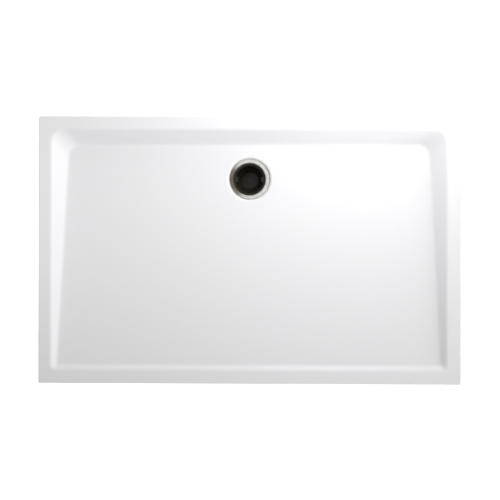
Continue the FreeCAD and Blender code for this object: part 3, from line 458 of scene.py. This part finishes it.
for place_name, (x, y) in PLACES.items():
    nut = lathe_mesh("lobed_nut_" + place_name, nut_points() + (x, y, 0), grey_nylon)
    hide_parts("leg_nut_" + place_name)
    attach(nut, "nut_" + place_name)

# --- Feet --------------------------------------------------------------------------------------
# A disc, a cone and a hollow threaded spindle in one: black glass-filled nylon.  The moulded
# thread has a coarse, rounded form, and runs in the nut and up inside the guide tube.

PAD_THICKNESS_MM = 3.0
FOOT_RADIUS_MM = 35.0
FOOT_EDGE_LEVEL_MM = 8.0          # where the disc's edge turns into the cone, above the floor
FOOT_EASE_MM = 1.5
CONE_RADIUS_MM = 19.0             # at its top
CONE_LEVEL_MM = 17.0
CONE_STEP_MM = 0.5                # the cone's flat top rises by this much to the spindle
SPINDLE_RADIUS_MM = 15.0
SPINDLE_BORE_MM = 9.0             # radius
SPINDLE_LEVEL_MM = 79.0           # its top
SPINDLE_CHAMFER_MM = 1.5
SPINDLE_EASE_MM = 0.6
THREAD_START_MM = 18.5            # the thread fades in from here ...
THREAD_END_MM = 77.4              # ... and has faded out here,
THREAD_FADE_MM = (2.0, 1.5)       # over these heights
THREAD_PITCH_MM = 3.0
THREAD_DEPTH_MM = 1.1
THREAD_RING_MM = 0.4              # between two rings of the mesh


def foot_points():
    """One foot in millimetres, an outline turned about Z: disc, cone, threaded spindle and bore.
    On the spindle the radius falls by the thread's depth where its groove is."""
    base = eased([
        (0, PAD_THICKNESS_MM),
        (FOOT_RADIUS_MM, PAD_THICKNESS_MM),
        (FOOT_RADIUS_MM, FOOT_EDGE_LEVEL_MM),
        (CONE_RADIUS_MM, CONE_LEVEL_MM),
        (SPINDLE_RADIUS_MM, CONE_LEVEL_MM + CONE_STEP_MM),
        (SPINDLE_RADIUS_MM, THREAD_START_MM),
    ], FOOT_EASE_MM)
    rings = np.arange(THREAD_START_MM + 0.5, THREAD_END_MM - 0.5, THREAD_RING_MM)
    top = eased([
        (SPINDLE_RADIUS_MM, THREAD_END_MM),
        (SPINDLE_RADIUS_MM - SPINDLE_CHAMFER_MM, SPINDLE_LEVEL_MM),
        (SPINDLE_BORE_MM, SPINDLE_LEVEL_MM),
        (SPINDLE_BORE_MM, FOOT_EDGE_LEVEL_MM),
        (0, FOOT_EDGE_LEVEL_MM),
    ], SPINDLE_EASE_MM)
    outline = np.concatenate([base, upright(SPINDLE_RADIUS_MM, rings), top])
    turn = full_turn(56)
    radius = outline[:, :1]
    height = np.repeat(outline[:, 1:], len(turn), axis=1)
    on_spindle = (np.abs(radius - SPINDLE_RADIUS_MM) < 0.01) & (height > THREAD_START_MM + 0.1)
    fade_in = np.clip((height - THREAD_START_MM) / THREAD_FADE_MM[0], 0, 1)
    fade_out = np.clip((THREAD_END_MM - height) / THREAD_FADE_MM[1], 0, 1)
    groove = thread_groove(height, turn, THREAD_PITCH_MM) * fade_in * fade_out
    return turned_points(radius - np.where(on_spindle, THREAD_DEPTH_MM * groove, 0), turn, height)


for place_name, (x, y) in PLACES.items():
    foot = lathe_mesh("threaded_foot_" + place_name, foot_points() + (x, y, 0), black_nylon)
    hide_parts("leg_foot_" + place_name)
    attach(foot, "foot_" + place_name)

# --- Foot pads ---------------------------------------------------------------------------------
# Discs of black rubber, moulded, dull and a little dusty, bonded under the feet so that the tray
# doesn't creep on tiles.

pad_rubber = cast_finish("rubber_moulded_black", "#161616", "#242424", 12, 1.2, 0.08,
                         (0.7, 0.88), IOR=1.52)[0]
for place_name in PLACES:
    dress("foot_pad_" + place_name, pad_rubber)

# --- Studio ------------------------------------------------------------------------------------
# A white paper floor that glows a little, so that it is white to its edges; a dark sky that is
# open overhead and pale at the horizon; four soft boxes; and the camera straight above.

FLOOR_HALF = 60.0
FLOOR_GLOW = 0.6
floor_paint, _, skin, _ = cast_finish(
    "studio_floor_paper", "#fbfbfb", "#f6f6f6", 400, 3, 0.01, (0.8, 0.9))
skin.inputs["Emission Color"].default_value = (1, 1, 1, 1)
skin.inputs["Emission Strength"].default_value = FLOOR_GLOW
floor_data = bpy.data.meshes.new("studio_floor")
floor_data.from_pydata([(-FLOOR_HALF, -FLOOR_HALF, 0), (FLOOR_HALF, -FLOOR_HALF, 0),
                        (FLOOR_HALF, FLOOR_HALF, 0), (-FLOOR_HALF, FLOOR_HALF, 0)],
                       [], [(0, 1, 2, 3)])
floor_data.materials.append(floor_paint)
floor = bpy.data.objects.new("studio_floor", floor_data)
bpy.context.scene.collection.objects.link(floor)

LAMP_AIM = Vector((0, 0, 0.14))       # the middle of the tray


def soft_box(name, place, width, watts):
    """A square lamp that faces the tray; bright metal doesn't mirror it."""
    data = bpy.data.lights.new(name, "AREA")
    data.size = width
    data.energy = watts
    lamp = bpy.data.objects.new(name, data)
    lamp.location = place
    lamp.rotation_euler = (LAMP_AIM - lamp.location).to_track_quat("-Z", "Y").to_euler()
    lamp.visible_glossy = False
    bpy.context.scene.collection.objects.link(lamp)


# Two stand near the tray, behind it and at its left; two stand far off and low, at its right and
# behind it, so that their light grazes the tray.
soft_box("back_light", (0.4, 0.7, 1.0), 0.7, 10.1)
soft_box("left_light", (-0.95, 0.1, 0.6), 0.5, 0.95)
soft_box("side_light", (5.02, -2.9, 1.69), 2.5, 245)
soft_box("far_light", (0, 5.8, 1.4), 2.5, 90)

# The sky's layers, each over the one before: its axis, the half angles in degrees between which
# it fades, and its light.
SKY_LAYERS = (
    ((0, 0, -1), 96, 104, (0.45, 0.45, 0.46)),          # a backdrop, to just above the horizon
    ((0, 0, 1), 31, 38, (1.02, 1.02, 1.02)),            # the opening overhead
    ((0, 0, 1), 12, 20, (0.6, 0.6, 0.6)),               # its middle, which the camera shades
    ((0.55, 0.17, 1), 21, 26, (0.17, 0.14, 0.112)),     # a brown screen at its right
)


def cone(tree, way, axis, inner, outer):
    """One inside a cone about an axis of the sky and nothing outside it; half angles in degrees
    between which it fades."""
    along = add_node(tree, "ShaderNodeVectorMath", {1: Vector(axis).normalized()}, {0: way},
                     operation="DOT_PRODUCT")
    return add_node(tree, "ShaderNodeMapRange", {
        "From Min": math.cos(math.radians(outer)),
        "From Max": math.cos(math.radians(inner)),
    }, {"Value": along.outputs["Value"]}, interpolation_type="SMOOTHSTEP").outputs["Result"]


sky = bpy.data.worlds.new("studio")
bpy.context.scene.world = sky
sky.use_nodes = True
tree = sky.node_tree
tree.nodes.clear()
way = add_node(tree, "ShaderNodeTexCoord").outputs["Generated"]
shade = add_node(tree, "ShaderNodeCombineColor").outputs["Color"]     # black, where no layer is
for axis, inner, outer, light in SKY_LAYERS:
    shade = add_node(tree, "ShaderNodeMix", {7: (*light, 1)},
                     {0: cone(tree, way, axis, inner, outer), 6: shade},
                     data_type="RGBA").outputs[2]
glow = add_node(tree, "ShaderNodeBackground", {"Strength": 1.0}, {"Color": shade})
add_node(tree, "ShaderNodeOutputWorld", links={"Surface": glow.outputs["Background"]})

CAMERA_DISTANCE = 3.0
CAMERA_LEAN = math.radians(1.1)
CAMERA_ROLL = math.radians(0.14)
CAMERA_ASIDE = 0.0022
FRAME_WIDTH = 1.418           # what the picture spans at the rim
SENSOR_MM = 36.0
rim_level = cad_box[1][2]
camera_data = bpy.data.cameras.new("camera")
camera_data.sensor_width = SENSOR_MM
camera_data.lens = SENSOR_MM * CAMERA_DISTANCE / FRAME_WIDTH
camera = bpy.data.objects.new("camera", camera_data)
camera.location = (CAMERA_ASIDE + CAMERA_DISTANCE * math.sin(CAMERA_LEAN), 0,
                   rim_level + CAMERA_DISTANCE * math.cos(CAMERA_LEAN))
camera.rotation_euler = (0, CAMERA_LEAN, CAMERA_ROLL)
bpy.context.scene.collection.objects.link(camera)
bpy.context.scene.camera = camera
bpy.context.scene.view_settings.view_transform = "Standard"
